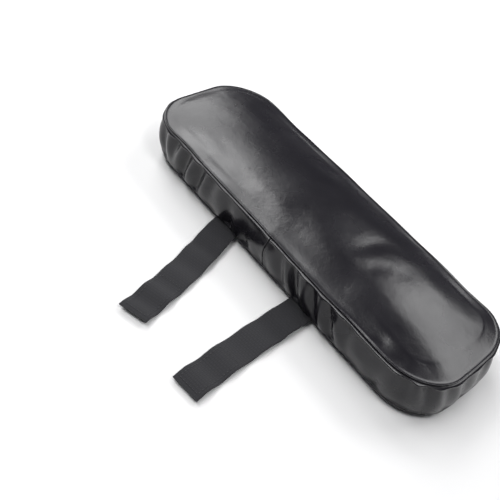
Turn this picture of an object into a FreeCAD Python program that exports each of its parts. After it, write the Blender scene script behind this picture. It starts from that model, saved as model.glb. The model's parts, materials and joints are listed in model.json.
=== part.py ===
"""Strap-on chair armrest pad: a foam core in a boxed leather-look cover with a zipped fabric base.

Frame: X runs along the pad, -Y is the side with the long loop straps, +Z is up.
The origin is the centre of the face that rests on the armrest. All lengths are in millimetres.
Every strap is split where it folds, so that its side run and end run can turn on hinges.
"""

import FreeCAD, Part, Sketcher
import math
import os

from FreeCAD import Placement, Rotation, Vector

DIMENSIONS = {
    # Cover and core
    "pad_length": 252.0,
    "pad_width": 82.0,
    "pad_height": 36.0,
    "corner_radius": 28.0,
    "base_seam_z": 5.0,
    "top_seam_z": 30.0,
    "seam_gap": 0.8,
    "thread_size": 0.46,
    "base_thread_lift": 0.08,
    "skin": 1.2,
    "edge_round": 5.4,
    "base_round": 4.4,
    "core_gap": 0.3,
    "core_round": 6.0,
    "core_chamfer": 7.0,
    # Zip in the base, off centre so that the front base panel carries the origin
    "zip_offset": 16.0,
    "slot_half": 4.4,
    "slot_half_length": 115.5,
    "hem_width": 8.0,
    "hem_height": 2.2,
    "tape_low": 2.25,
    "tape_thick": 0.45,
    "tape_edge": 0.5,
    "tape_width": 12.0,
    "tape_half_length": 116.0,
    "coil_width": 1.9,
    "coil_thick": 1.4,
    "coil_gap": 0.05,
    "coil_half_length": 112.0,
    "stop_length": 2.4,
    "stop_gap": 0.2,
    "stop_half_width": 2.6,
    "slider_half_length": 4.2,
    "slider_half_width": 3.8,
    "slider_start": 104.0,
    "plate_low": 1.4,
    "plate_thick": 0.6,
    "cap_low": 4.4,
    "flange_thick": 1.2,
    "flange_low": 2.9,
    "divider_thick": 0.5,
    "arch_low": 0.1,
    "arch_thick": 0.3,
    "arch_half_length": 2.0,
    "arch_width": 1.6,
    "pull_length": 16.0,
    "pull_width": 5.0,
    "pull_thick": 0.6,
    "pull_z": 0.9,
    "pull_eye_length": 3.0,
    "pull_eye_width": 2.4,
    "zip_channel_half": 5.0,
    "zip_channel_top": 5.3,
    "tape_channel_half": 13.0,
    "tape_channel_top": 3.0,
    # Straps
    "strap_x": 36.0,
    "strap_width": 19.0,
    "strap_thick": 1.5,
    "round_margin": 0.01,
    "strap_root_z": 4.05,
    "strap_root_inner": 36.6,
    "hinge_gap": 0.25,
    "side_run": 28.0,
    "end_run": 57.0,
    "end_run_z": 1.7,
    "left_skew": 19.0,
    "right_skew": 7.0,
    "left_hinge_out": 4.5,
    "right_hinge_out": 2.9,
    "tab_run": 27.0,
    "tab_hinge_out": 1.6,
    "tab_end_z": 0.75,
    "patch_thick": 0.85,
    "patch_gap": 0.05,
    "patch_width": 17.0,
    "loop_patch_length": 34.0,
    "hook_patch_length": 20.0,
    "patch_margin": 2.0,
    "patch_thread_inset": 1.6,
    "strap_notch_width": 23.0,
    "strap_notch_z": 3.1,
}

# How closely two lengths have to agree, and the least length of an edge that counts as one
SAME = 1e-6
LEAST_EDGE = 0.1

doc = FreeCAD.newDocument("armrest_pad")
sheet = doc.addObject("Spreadsheet::Sheet", "dims")
sub_parts = []


def fill_sheet():
    """Writes every driving dimension to a row of the sheet, with its name as the alias."""
    for row, (name, value) in enumerate(DIMENSIONS.items(), start=1):
        sheet.set(f"A{row}", name)
        sheet.set(f"B{row}", str(value))
        sheet.setAlias(f"B{row}", name)
    doc.recompute()


def cell(name):
    """A driving dimension as a plain number, read back from the sheet."""
    return float(sheet.get(name))


def new_body(label):
    """A body for one sub-part. The label is the name of its node and of its file."""
    body = doc.addObject("PartDesign::Body", label)
    body.Label = label
    sub_parts.append(body)
    return body


def origin_plane(body, role):
    return next(f for f in body.Origin.OriginFeatures if f.Role == role)


def new_sketch(body, name, role="XY_Plane", height=None):
    """A sketch on one of the body's own origin planes, lifted by an expression."""
    sketch = body.newObject("Sketcher::SketchObject", name)
    sketch.AttachmentSupport = [(origin_plane(body, role), "")]
    sketch.MapMode = "FlatFace"
    if height is not None:
        sketch.setExpression("AttachmentOffset.Base.z", height)
    return sketch


def add_polygon(sketch, points):
    """A closed polygon whose corners are pairs of expressions measured from the sketch's origin."""
    count = len(points)
    first = sketch.GeometryCount
    spot = [
        Vector(10 * math.cos(2 * math.pi * i / count), 10 * math.sin(2 * math.pi * i / count), 0)
        for i in range(count)
    ]
    for i in range(count):
        sketch.addGeometry(Part.LineSegment(spot[i], spot[(i + 1) % count]), False)
    for i in range(count):
        after = first + (i + 1) % count
        sketch.addConstraint(Sketcher.Constraint("Coincident", first + i, 2, after, 1))
    for i, (along, across) in enumerate(points):
        for kind, value, expression in (("DistanceX", spot[i].x, along), ("DistanceY", spot[i].y, across)):
            index = sketch.addConstraint(Sketcher.Constraint(kind, -1, 1, first + i, 1, value))
            sketch.setExpression(f"Constraints[{index}]", expression)


def add_rectangle(sketch, x_low, x_high, y_low, y_high):
    add_polygon(sketch, [(x_low, y_low), (x_high, y_low), (x_high, y_high), (x_low, y_high)])


def add_pad(body, sketch, length, name="pad"):
    pad = body.newObject("PartDesign::Pad", name)
    pad.Profile = sketch
    pad.setExpression("Length", length)
    doc.recompute()
    return pad


def add_pocket(body, sketch, length=None, name="pocket"):
    """Cuts upwards from the sketch: by the given length, or right through."""
    before = body.Shape.Volume
    pocket = body.newObject("PartDesign::Pocket", name)
    pocket.Profile = sketch
    pocket.Reversed = True
    if length is None:
        pocket.Type = "ThroughAll"
    else:
        pocket.setExpression("Length", length)
    doc.recompute()
    if not body.Shape.Volume < before:
        raise RuntimeError(f"{body.Label}: {name} cuts nothing")
    return pocket


def edges_where(feature, test):
    return [f"Edge{i}" for i, edge in enumerate(feature.Shape.Edges, start=1) if test(edge)]


def is_upright(edge):
    low, high = edge.BoundBox.ZMin, edge.BoundBox.ZMax
    return high - low > LEAST_EDGE and edge.BoundBox.XLength < SAME and edge.BoundBox.YLength < SAME


def lies_at(height):
    return lambda edge: abs(edge.BoundBox.ZMin - height) < SAME and abs(edge.BoundBox.ZMax - height) < SAME


def add_fillet(body, base, edges, radius, name="fillet"):
    fillet = body.newObject("PartDesign::Fillet", name)
    fillet.Base = (base, edges)
    fillet.setExpression("Radius", radius)
    doc.recompute()
    return fillet


def rounded_block(body, low, height, inset="0", name="block"):
    """A block with the pad's rounded outline, drawn in by inset, from low and upwards."""
    sketch = new_sketch(body, name + "_outline", height=low)
    half_x = f"(dims.pad_length / 2 - {inset})"
    half_y = f"(dims.pad_width / 2 - {inset})"
    add_rectangle(sketch, "-" + half_x, half_x, "-" + half_y, half_y)
    pad = add_pad(body, sketch, height, name)
    return add_fillet(body, pad, edges_where(pad, is_upright), f"dims.corner_radius - {inset}", name + "_corners")


def rounded_ring(body, low, height, outer, inner):
    """A band that follows the pad's rounded outline, between two insets from it."""
    sketch = new_sketch(body, "ring_outline", height=low)
    for inset in (outer, inner):
        half_x = f"(dims.pad_length / 2 - {inset})"
        half_y = f"(dims.pad_width / 2 - {inset})"
        add_rectangle(sketch, "-" + half_x, half_x, "-" + half_y, half_y)
    ring = add_pad(body, sketch, height, "ring")
    outermost = ring.Shape.BoundBox.YMax

    def is_outer(edge):
        return is_upright(edge) and abs(edge.BoundBox.Center.y) > outermost - SAME

    corners = edges_where(ring, is_outer)
    rounded = add_fillet(body, ring, corners, f"dims.corner_radius - {outer}", "outer_corners")
    round_starts_x = cell("pad_length") / 2 - cell("corner_radius")
    round_starts_y = cell("pad_width") / 2 - cell("corner_radius")

    def is_inner(edge):
        spot = edge.BoundBox.Center
        in_corner = abs(spot.x) > round_starts_x + SAME and abs(spot.y) > round_starts_y + SAME
        return is_upright(edge) and in_corner

    corners = edges_where(rounded, is_inner)
    return add_fillet(body, rounded, corners, f"dims.corner_radius - {inner}", "inner_corners")


def hollow(body, base, open_height):
    """Leaves a skin of the cover's thickness, open at the given height."""
    faces = [
        f"Face{i}"
        for i, face in enumerate(base.Shape.Faces, start=1)
        if abs(face.BoundBox.ZMin - open_height) < SAME and abs(face.BoundBox.ZMax - open_height) < SAME
    ]
    skin = body.newObject("PartDesign::Thickness", "skin")
    skin.Base = (base, faces)
    skin.Mode = 0
    skin.Join = 0
    skin.Reversed = True
    skin.setExpression("Value", "dims.skin")
    doc.recompute()
    return skin


def make_foam_core():
    """Foam block, chamfered round the base and relieved over the zip and its tapes."""
    body = new_body("foam_core")
    low = "(dims.skin + dims.core_gap)"
    block = rounded_block(body, low, f"dims.pad_height - 2 * {low}", low, "core")
    top = cell("pad_height") - cell("skin") - cell("core_gap")
    rounded = add_fillet(body, block, edges_where(block, lies_at(top)), "dims.core_round", "core_top")
    bottom = cell("skin") + cell("core_gap")
    chamfer = body.newObject("PartDesign::Chamfer", "core_chamfer")
    chamfer.Base = (rounded, edges_where(rounded, lies_at(bottom)))
    chamfer.setExpression("Size", "dims.core_chamfer")
    doc.recompute()
    for name, half, ceiling in (
        ("tape_channel", "dims.tape_channel_half", "dims.tape_channel_top"),
        ("zip_channel", "dims.zip_channel_half", "dims.zip_channel_top"),
    ):
        sketch = new_sketch(body, name + "_outline", height=low)
        add_rectangle(
            sketch,
            "-dims.pad_length",
            "dims.pad_length",
            f"dims.zip_offset - {half}",
            f"dims.zip_offset + {half}",
        )
        add_pocket(body, sketch, f"{ceiling} - {low}", name)


def make_top_panel():
    """Crowned skin over the core: a rounded block hollowed from below."""
    body = new_body("top_panel")
    low = "(dims.top_seam_z + dims.seam_gap / 2)"
    block = rounded_block(body, low, f"dims.pad_height - {low}", name="panel")
    rounded = add_fillet(body, block, edges_where(block, lies_at(cell("pad_height"))), "dims.edge_round")
    hollow(body, rounded, cell("top_seam_z") + cell("seam_gap") / 2)


def make_boxing(label, side):
    """Half of the side band, a U in plan, ending at the two upright joins at the pad's middle."""
    body = new_body(label)
    low = "(dims.base_seam_z + dims.seam_gap / 2)"
    rounded_ring(body, low, "dims.top_seam_z - dims.base_seam_z - dims.seam_gap", "0", "dims.skin")
    other = new_sketch(body, "other_half", height=low)
    near, far = f"{-side} * dims.pad_length", f"{side} * dims.seam_gap / 2"
    x_low, x_high = (near, far) if side > 0 else (far, near)
    add_rectangle(other, x_low, x_high, "-dims.pad_width", "dims.pad_width")
    add_pocket(body, other, name="join_cut")


def make_base_panel(label, side):
    """Fabric tray under the core, on one side of the zip slot, with a hem along the slot.

    Past the ends of the slot the two panels meet at a closed seam.
    """
    body = new_body(label)
    rim = "(dims.base_seam_z - dims.seam_gap / 2)"
    block = rounded_block(body, "0", rim, name="tray")
    rounded = add_fillet(body, block, edges_where(block, lies_at(0)), "dims.base_round")
    hollow(body, rounded, cell("base_seam_z") - cell("seam_gap") / 2)
    edge = f"(dims.zip_offset + {side} * dims.slot_half)"
    hem = new_sketch(body, "hem_outline")
    inner, outer = edge, f"({edge} + {side} * dims.hem_width)"
    y_low, y_high = (inner, outer) if side > 0 else (outer, inner)
    add_rectangle(hem, "-dims.tape_half_length", "dims.tape_half_length", y_low, y_high)
    add_pad(body, hem, "dims.hem_height", "hem")
    slot = new_sketch(body, "slot_outline")
    join = f"(dims.zip_offset + {side} * dims.seam_gap / 2)"
    far = f"{-side} * dims.pad_width"
    corners = [
        ("-dims.pad_length", far),
        ("dims.pad_length", far),
        ("dims.pad_length", join),
        ("dims.slot_half_length", join),
        ("dims.slot_half_length", edge),
        ("-dims.slot_half_length", edge),
        ("-dims.slot_half_length", join),
        ("-dims.pad_length", join),
    ]
    add_polygon(slot, corners)
    add_pocket(body, slot, name="slot")
    notches = new_sketch(body, "strap_notches", height="dims.strap_notch_z")
    for x_side in (-1, 1):
        middle = f"{x_side} * dims.strap_x"
        reach = ("dims.pad_width / 2 - dims.base_round", "dims.pad_width / 2 + dims.skin")
        y_low, y_high = reach if side > 0 else (f"-({reach[1]})", f"-({reach[0]})")
        half = "dims.strap_notch_width / 2"
        add_rectangle(notches, f"{middle} - {half}", f"{middle} + {half}", y_low, y_high)
    add_pocket(body, notches, name="notches")


def make_ring_thread(label, seam):
    """Lockstitch line all round a seam, in the middle of the cover's thickness."""
    body = new_body(label)
    outer = "(dims.skin / 2 - dims.thread_size / 2)"
    inner = "(dims.skin / 2 + dims.thread_size / 2)"
    rounded_ring(body, f"{seam} - dims.thread_size / 2", "dims.thread_size", outer, inner)


def make_join_thread(label, side):
    """Upright stitch line that closes the boxing at the middle of one long side."""
    body = new_body(label)
    low = "(dims.base_seam_z + dims.seam_gap)"
    sketch = new_sketch(body, "line", height=low)
    middle = f"{side} * (dims.pad_width / 2 - dims.skin / 2)"
    half = "dims.thread_size / 2"
    add_rectangle(sketch, f"-{half}", half, f"{middle} - {half}", f"{middle} + {half}")
    add_pad(body, sketch, f"dims.top_seam_z - dims.seam_gap - {low}")


def make_zip_side(name, side):
    """Tape and coil on one side of the zip."""
    tape = new_body("zip_tape_" + name)
    sketch = new_sketch(tape, "outline", height="dims.tape_low")
    near = f"(dims.zip_offset + {side} * dims.tape_edge)"
    far = f"(dims.zip_offset + {side} * dims.tape_width)"
    y_low, y_high = (near, far) if side > 0 else (far, near)
    add_rectangle(sketch, "-dims.tape_half_length", "dims.tape_half_length", y_low, y_high)
    add_pad(tape, sketch, "dims.tape_thick")
    coil = new_body("zip_coil_" + name)
    sketch = new_sketch(coil, "outline", height="dims.tape_low + dims.tape_thick + dims.coil_gap")
    far = f"({near} + {side} * dims.coil_width)"
    y_low, y_high = (near, far) if side > 0 else (far, near)
    add_rectangle(sketch, "-dims.coil_half_length", "dims.coil_half_length", y_low, y_high)
    add_pad(coil, sketch, "dims.coil_thick")


def make_zip_stop(label, side):
    """Metal stop clamped over both coils just past their end."""
    body = new_body(label)
    sketch = new_sketch(body, "outline", height="dims.tape_low + dims.tape_thick + dims.coil_gap")
    near = f"({side} * (dims.coil_half_length + dims.stop_gap))"
    far = f"({near} + {side} * dims.stop_length)"
    x_low, x_high = (near, far) if side > 0 else (far, near)
    low, high = "dims.zip_offset - dims.stop_half_width", "dims.zip_offset + dims.stop_half_width"
    add_rectangle(sketch, x_low, x_high, low, high)
    add_pad(body, sketch, "dims.coil_thick")


def make_slider():
    """Zip slider: plate under the tapes, cap over the coils, divider between them, arch for the pull."""
    body = new_body("zip_slider")
    half_x, half_y = "dims.slider_half_length", "dims.slider_half_width"
    cap_top = "(dims.cap_low + dims.plate_thick)"
    for name, low, height, x_low, x_high, y_low, y_high in (
        ("plate", "dims.plate_low", "dims.plate_thick", f"-{half_x}", half_x, f"-{half_y}", half_y),
        (
            "divider",
            "dims.plate_low",
            f"{cap_top} - dims.plate_low",
            f"{half_x} / 2",
            half_x,
            "-dims.divider_thick / 2",
            "dims.divider_thick / 2",
        ),
        ("cap", "dims.cap_low", "dims.plate_thick", f"-{half_x}", half_x, f"-{half_y}", half_y),
        (
            "rear_flange",
            "dims.flange_low",
            f"{cap_top} - dims.flange_low",
            f"-{half_x}",
            half_x,
            f"{half_y} - dims.flange_thick",
            half_y,
        ),
        (
            "front_flange",
            "dims.flange_low",
            f"{cap_top} - dims.flange_low",
            f"-{half_x}",
            half_x,
            f"-{half_y}",
            f"-{half_y} + dims.flange_thick",
        ),
        (
            "arch",
            "dims.arch_low",
            "dims.plate_low - dims.arch_low",
            "-dims.arch_half_length",
            "dims.arch_half_length",
            "-dims.arch_width / 2",
            "dims.arch_width / 2",
        ),
    ):
        sketch = new_sketch(body, name + "_outline", height=low)
        add_rectangle(sketch, x_low, x_high, y_low, y_high)
        add_pad(body, sketch, height, name)
    eye = new_sketch(body, "arch_eye", height="dims.arch_low + dims.arch_thick")
    reach = "(dims.arch_half_length - dims.arch_thick)"
    add_rectangle(eye, f"-{reach}", reach, "-dims.arch_width", "dims.arch_width")
    add_pocket(body, eye, "dims.plate_low - dims.arch_low - dims.arch_thick", "eye")
    body.Placement = Placement(Vector(cell("slider_start"), cell("zip_offset"), 0), Rotation())


def make_pull():
    """Flat pull whose cross pin runs through the slider's arch."""
    body = new_body("zip_pull")
    half = "dims.pull_thick / 2"
    sketch = new_sketch(body, "outline", height=f"-{half}")
    start = f"(-{half})"
    add_rectangle(
        sketch, f"{start} - dims.pull_length", f"-{start}", "-dims.pull_width / 2", "dims.pull_width / 2"
    )
    pad = add_pad(body, sketch, "dims.pull_thick")
    end = cell("pull_thick") / 2
    pin_edges = edges_where(pad, lambda e: e.BoundBox.XMin > end - SAME and e.BoundBox.YLength > LEAST_EDGE)
    add_fillet(body, pad, pin_edges, f"{half} - dims.round_margin", "pin_round")
    eye = new_sketch(body, "eye_outline", height=f"-{half}")
    add_rectangle(
        eye,
        f"{start} - dims.pull_eye_length",
        start,
        "-dims.pull_eye_width / 2",
        "dims.pull_eye_width / 2",
    )
    add_pocket(body, eye, name="eye")
    body.Placement = Placement(
        Vector(cell("slider_start"), cell("zip_offset"), cell("pull_z")), Rotation()
    )


def strap_frame(x_side, y_side, skew, hinge_out):
    """Where a strap folds at its seam: the hinge point, and the turn that points local -Y outwards."""
    outwards = Rotation(Vector(0, 0, 1), skew if y_side < 0 else 180 + skew)
    seam = Vector(x_side * cell("strap_x"), y_side * cell("pad_width") / 2, cell("strap_root_z"))
    hinge = seam + outwards.multVec(Vector(0, -hinge_out, 0))
    return Placement(hinge, outwards)


def slab(body, y_low, y_high, thick="dims.strap_thick", width="dims.strap_width", low=None):
    """A flat length of webbing in the strap's own frame, where -Y runs outwards."""
    sketch = new_sketch(body, "outline", height=low or f"-{thick} / 2")
    add_rectangle(sketch, f"-{width} / 2", f"{width} / 2", y_low, y_high)
    return add_pad(body, sketch, thick)


def round_fold(body, pad, y_end):
    """Rounds the end of a slab that lies on its fold, so that the next run can turn about it."""
    edges = edges_where(
        pad, lambda e: abs(e.BoundBox.YMin - y_end) < SAME and abs(e.BoundBox.YMax - y_end) < SAME
        and e.BoundBox.XLength > LEAST_EDGE
    )
    add_fillet(body, pad, edges, "dims.strap_thick / 2 - dims.round_margin", "fold_round")


def make_root(label, frame, skew):
    """The strap's sewn end, from inside the base seam out to the first fold."""
    body = new_body(label)
    half = "dims.strap_width / 2"
    inner = abs(frame.Base.y) - cell("strap_root_inner")
    depth = [
        f"({inner} - {sign} * {half} * sin({skew})) / cos({skew})" for sign in (-1, 1)
    ]
    sketch = new_sketch(body, "outline", height="-dims.strap_thick / 2")
    fold = "(-dims.strap_thick / 2)"
    add_polygon(sketch, [(f"-{half}", fold), (half, fold), (half, depth[1]), (f"-{half}", depth[0])])
    pad = add_pad(body, sketch, "dims.strap_thick")
    round_fold(body, pad, -cell("strap_thick") / 2)
    body.Placement = frame


def make_strap(name, frame, skew):
    """A long strap: sewn root, side run down to the surface, end run with its loop patch."""
    make_root("strap_root_" + name, frame, skew)
    start = "-(dims.strap_thick / 2 + dims.hinge_gap)"
    side = new_body("strap_side_" + name)
    pad = slab(side, "-dims.side_run - dims.strap_thick / 2", start)
    round_fold(side, pad, -cell("side_run") - cell("strap_thick") / 2)
    drop = cell("strap_root_z") - cell("end_run_z")
    slope = math.degrees(math.asin(drop / cell("side_run")))
    side.Placement = frame * Placement(Vector(), Rotation(Vector(1, 0, 0), slope))
    turn = side.Placement.multVec(Vector(0, -cell("side_run"), 0))
    lying = Placement(turn, frame.Rotation)
    end = new_body("strap_end_" + name)
    slab(end, "-dims.end_run", start)
    end.Placement = lying
    patch = new_body("loop_patch_" + name)
    far = "(dims.patch_margin - dims.end_run)"
    low = "-dims.strap_thick / 2 - dims.patch_gap - dims.patch_thick"
    slab(patch, far, f"{far} + dims.loop_patch_length", "dims.patch_thick", "dims.patch_width", low)
    patch.Placement = lying
    make_patch_thread("patch_thread_" + name, lying, far, "dims.loop_patch_length", "dims.strap_thick / 2")


def make_patch_thread(label, frame, far, length, surface):
    """Stitch line round a patch, standing on the surface that it is sewn through."""
    body = new_body(label)
    sketch = new_sketch(body, "line", height=f"{surface} + dims.patch_gap")
    for inset in ("dims.patch_thread_inset", "dims.patch_thread_inset + dims.thread_size"):
        half = f"(dims.patch_width / 2 - ({inset}))"
        add_rectangle(sketch, f"-{half}", half, f"{far} + {inset}", f"{far} + {length} - ({inset})")
    add_pad(body, sketch, "dims.thread_size / 2")
    body.Placement = frame


def make_tab(name, frame):
    """A short hook tab on the far side: sewn root, and a run with its hook patch on top."""
    make_root("tab_root_" + name, frame, 0)
    slope = math.degrees(math.asin((cell("strap_root_z") - cell("tab_end_z")) / cell("tab_run")))
    sloping = frame * Placement(Vector(), Rotation(Vector(1, 0, 0), slope))
    tab = new_body("hook_tab_" + name)
    slab(tab, "-dims.tab_run", "-(dims.strap_thick / 2 + dims.hinge_gap)")
    tab.Placement = sloping
    patch = new_body("hook_patch_" + name)
    far = "(dims.patch_margin - dims.tab_run)"
    low = "dims.strap_thick / 2 + dims.patch_gap"
    slab(patch, far, f"{far} + dims.hook_patch_length", "dims.patch_thick", "dims.patch_width", low)
    patch.Placement = sloping
    above = "dims.strap_thick / 2 + dims.patch_gap + dims.patch_thick"
    make_patch_thread("hook_thread_" + name, sloping, far, "dims.hook_patch_length", above)


def check_and_export():
    """Stops on any failed feature or bad shape, then writes one STEP file for each sub-part."""
    doc.recompute()
    for item in doc.Objects:
        if "Invalid" in item.State or "Error" in item.State:
            raise RuntimeError(f"{item.Label}: {item.State}")
    os.makedirs("parts", exist_ok=True)
    for part in sub_parts:
        shape = part.Shape
        if shape.isNull() or not shape.isValid() or not shape.Solids:
            raise RuntimeError(f"{part.Label} has no valid solid")
        shape.exportStep(f"parts/{part.Label}.step")


def build():
    fill_sheet()
    make_foam_core()
    make_top_panel()
    make_boxing("boxing_left", -1)
    make_boxing("boxing_right", 1)
    make_base_panel("base_panel_front", -1)
    make_base_panel("base_panel_rear", 1)
    make_ring_thread("top_seam_thread", "dims.top_seam_z")
    make_ring_thread("base_seam_thread", "dims.base_seam_z + dims.base_thread_lift")
    make_join_thread("front_join_thread", -1)
    make_join_thread("rear_join_thread", 1)
    make_zip_side("front", -1)
    make_zip_side("rear", 1)
    make_zip_stop("zip_top_stop", 1)
    make_zip_stop("zip_bottom_stop", -1)
    make_slider()
    make_pull()
    for name, x_side in (("left", -1), ("right", 1)):
        skew = cell(name + "_skew")
        frame = strap_frame(x_side, -1, skew, cell(name + "_hinge_out"))
        make_strap(name, frame, skew)
        tab_frame = strap_frame(x_side, 1, 0, cell("tab_hinge_out"))
        make_tab(name, tab_frame)
    check_and_export()


build()
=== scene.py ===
"""Strap-on chair armrest pad: a stuffed, boxed cover on a fabric base with a zip and webbing straps."""

import json
import math
from contextlib import contextmanager

import bmesh
import bpy
import numpy as np
from bpy.props import FloatProperty, FloatVectorProperty, PointerProperty
from mathutils import Matrix, Vector, noise


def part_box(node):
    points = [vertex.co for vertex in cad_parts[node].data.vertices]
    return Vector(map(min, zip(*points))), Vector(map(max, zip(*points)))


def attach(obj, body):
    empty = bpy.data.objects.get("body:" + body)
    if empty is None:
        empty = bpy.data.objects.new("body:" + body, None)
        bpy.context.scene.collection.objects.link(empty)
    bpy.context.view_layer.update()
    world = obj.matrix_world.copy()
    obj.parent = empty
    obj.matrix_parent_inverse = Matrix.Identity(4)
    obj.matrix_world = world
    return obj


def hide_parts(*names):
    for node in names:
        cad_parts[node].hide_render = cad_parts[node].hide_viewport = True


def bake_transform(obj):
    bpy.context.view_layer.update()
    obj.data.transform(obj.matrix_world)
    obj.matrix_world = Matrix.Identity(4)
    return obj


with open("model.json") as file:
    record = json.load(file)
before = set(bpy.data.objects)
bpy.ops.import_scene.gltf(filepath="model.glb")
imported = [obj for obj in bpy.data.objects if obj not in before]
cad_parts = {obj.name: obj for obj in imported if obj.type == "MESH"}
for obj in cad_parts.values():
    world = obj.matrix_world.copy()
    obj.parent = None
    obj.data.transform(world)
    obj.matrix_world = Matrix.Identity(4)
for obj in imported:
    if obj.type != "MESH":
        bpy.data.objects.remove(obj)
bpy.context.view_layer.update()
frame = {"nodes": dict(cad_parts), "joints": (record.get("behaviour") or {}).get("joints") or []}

bl_info = {
    "name": "Armrest Pad",
    "version": (1, 0, 0),
    "blender": (4, 5, 0),
    "location": "View3D > Sidebar > Armrest Pad",
    "description": "Builds the soft goods of a strap-on armrest pad round its packed frame",
    "category": "Add Mesh",
}

MM = 0.001
PAD_LOW, PAD_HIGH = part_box("boxing_right")
HALF_LENGTH = PAD_HIGH.x / MM
HALF_WIDTH = PAD_HIGH.y / MM
TOP_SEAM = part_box("top_panel")[0].z / MM
BASE_SEAM = PAD_LOW.z / MM - 0.2
CORNER = 28.0
UP = np.array([0.0, 0.0, 1.0])

# Cells of the cover's net along a long side and an end, its rings of points, and the columns at the two joins
LONG_CELLS = 92
END_CELLS = 28
AROUND = 2 * (LONG_CELLS + END_CELLS)
TOP_INSETS = (10.0, 7.5, 5.0, 2.5)
BOX_ROWS = 10
TOP_RING = len(TOP_INSETS)
BASE_RING = TOP_RING + BOX_ROWS
FRONT_JOIN = LONG_CELLS // 2
REAR_JOIN = LONG_CELLS + END_CELLS + FRONT_JOIN
CELL = 2.6
BASE_TUCK = 2.0
BASE_RINGS = ((0.5, 3.4), (1.6, 1.6), (3.2, 0.5), (5.2, 0.0), (7.6, 0.0), (10.0, 0.0))


# ---------------- settings


def length_setting(name, text, default):
    return FloatProperty(name=name, description=text, default=default, unit="LENGTH")


def number_setting(name, text, default):
    return FloatProperty(name=name, description=text, default=default)


def colour_setting(name, text, default):
    return FloatVectorProperty(
        name=name, description=text, default=default, subtype="COLOR", size=3, min=0.0, max=1.0
    )


class PadCoverSettings(bpy.types.PropertyGroup):
    """The stuffed cover: how full it is and how its leather looks."""

    crown: length_setting("Crown", "Rise of the top panel over its seam", 0.0056)
    end_bulge: length_setting("End Bulge", "How far the two ends round out", 0.0024)
    pressure: number_setting("Filling Pressure", "Push of the filling on the cover", 4.0)
    end_fall: length_setting("End Fall", "How far the top panel falls towards its two ends", 0.0022)
    rear_tuck: length_setting("Rear Tuck", "How far the top seam draws in at the rear and far end", 0.0014)
    fold_depth: number_setting("Fold Depth", "Scale of the side band's folds", 1.5)
    spare_cloth: number_setting("Spare Cloth", "Share by which the side band is cut too long", 0.045)
    swell_limit: length_setting("Swell Limit", "The furthest that the filling moves the cover", 0.004)
    colour: colour_setting("Leather", "Colour of the coated cloth", (0.0056, 0.0050, 0.0074))
    roughness: FloatProperty(
        name="Roughness", description="Roughness of the coated cloth", default=0.26, min=0.0, max=1.0,
        subtype="FACTOR",
    )


class PadBaseSettings(bpy.types.PropertyGroup):
    """The fabric base and its zip."""

    colour: colour_setting("Base Fabric", "Colour of the woven base", (0.0125, 0.0125, 0.0140))
    thread_pitch: length_setting("Weave Pitch", "Distance between the yarns", 0.0007)
    stitch: length_setting("Stitch Length", "Length of one stitch and its gap", 0.0030)
    coil_pitch: length_setting("Coil Pitch", "Distance between two turns of the zip's coil", 0.0015)


class PadStrapSettings(bpy.types.PropertyGroup):
    """The webbing straps and their hook and loop patches."""

    colour: colour_setting("Webbing", "Colour of the webbing", (0.0205, 0.0205, 0.0230))
    rib_pitch: length_setting("Rib Pitch", "Distance between the webbing's cross ribs", 0.0011)
    ripple: length_setting("Ripple", "Height of the gentle waves along a strap", 0.0011)


class PadStageSettings(bpy.types.PropertyGroup):
    """The camera, the floor and the lights."""

    camera_place: FloatVectorProperty(
        name="Camera Place", description="Where the camera stands", default=(0.2137, -0.3200, 0.3618),
        subtype="XYZ", size=3,
    )
    lens: number_setting("Lens", "Focal length on a 36 mm wide sensor", 61.2)
    light: number_setting("Light", "Scale of all the lights", 1.33)
    floor_colour: colour_setting("Floor", "Colour of the floor", (0.71, 0.71, 0.71))


# ---------------- mesh helpers


def mesh_object(name, points, faces, material=None, smooth=True):
    """A new object at the origin from points in millimetres."""
    mesh = bpy.data.meshes.new(name)
    mesh.from_pydata([tuple(float(c) * MM for c in p) for p in points], [], faces)
    mesh.validate()
    mesh.update()
    mesh.polygons.foreach_set("use_smooth", [smooth] * len(mesh.polygons))
    obj = bpy.data.objects.new(name, mesh)
    bpy.context.scene.collection.objects.link(obj)
    if material:
        mesh.materials.append(material)
    return obj


def add_subdivision(obj, levels):
    stack = obj.modifiers.new("Subdivision", "SUBSURF")
    stack.levels = stack.render_levels = levels
    return stack


def apply_stack(obj):
    """Makes the object's finished shape its own mesh, with nothing left live."""
    graph = bpy.context.evaluated_depsgraph_get()
    made = bpy.data.meshes.new_from_object(obj.evaluated_get(graph))
    old = obj.data
    obj.modifiers.clear()
    obj.data = made
    bpy.data.meshes.remove(old)


@contextmanager
def editing(obj):
    """The object's mesh as a bmesh to change. It goes back with all its faces smooth."""
    tool = bmesh.new()
    tool.from_mesh(obj.data)
    yield tool
    tool.to_mesh(obj.data)
    tool.free()
    obj.data.polygons.foreach_set("use_smooth", [True] * len(obj.data.polygons))


def finish_piece(obj, body, slot, *nodes):
    """Ties a piece to its body and to the frame nodes it stands for, which it hides. The slot for its finish
    is not used.
    """
    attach(obj, body)
    if nodes:
        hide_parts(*nodes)
    return obj


def bump_at(distance, width):
    """A smooth bump, 1 at the middle, falling to 0 at about two widths away."""
    return np.exp(-((distance / width) ** 2))


# ---------------- the cover's outline


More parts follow.
